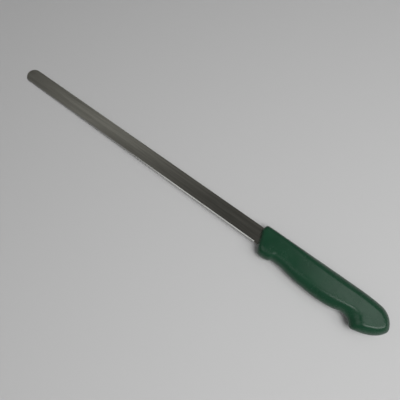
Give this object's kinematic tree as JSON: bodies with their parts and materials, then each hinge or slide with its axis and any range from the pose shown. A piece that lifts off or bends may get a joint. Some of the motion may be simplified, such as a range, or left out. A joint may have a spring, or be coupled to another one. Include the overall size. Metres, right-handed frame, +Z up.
{
  "type": "salmon knife",
  "caption": "Slicing knife with a long narrow round-ended steel blade and a moulded soft-grip handle with finger guard, palm swell and hooked butt",
  "frame": {"origin": "Middle of the knife's bounding box, on the table that it lies on", "axes": "+X runs from the tip to the butt, +Y toward the spine, +Z up from the table. The knife lies on its side, tipped 1.5 degrees about Y so that its tip and its handle both touch the table"},
  "size_m": [0.4608, 0.0356, 0.0215],
  "materials": {
    "blade_steel": "satin, ground lengthwise",
    "core_plastic": "plain moulded",
    "grip_soft": "soft-touch, fine moulded grain"
  },
  "bodies": {
    "root": {"blade": "blade_steel", "handle_core": "core_plastic", "handle_grip": "grip_soft"}
  },
  "joints": []
}
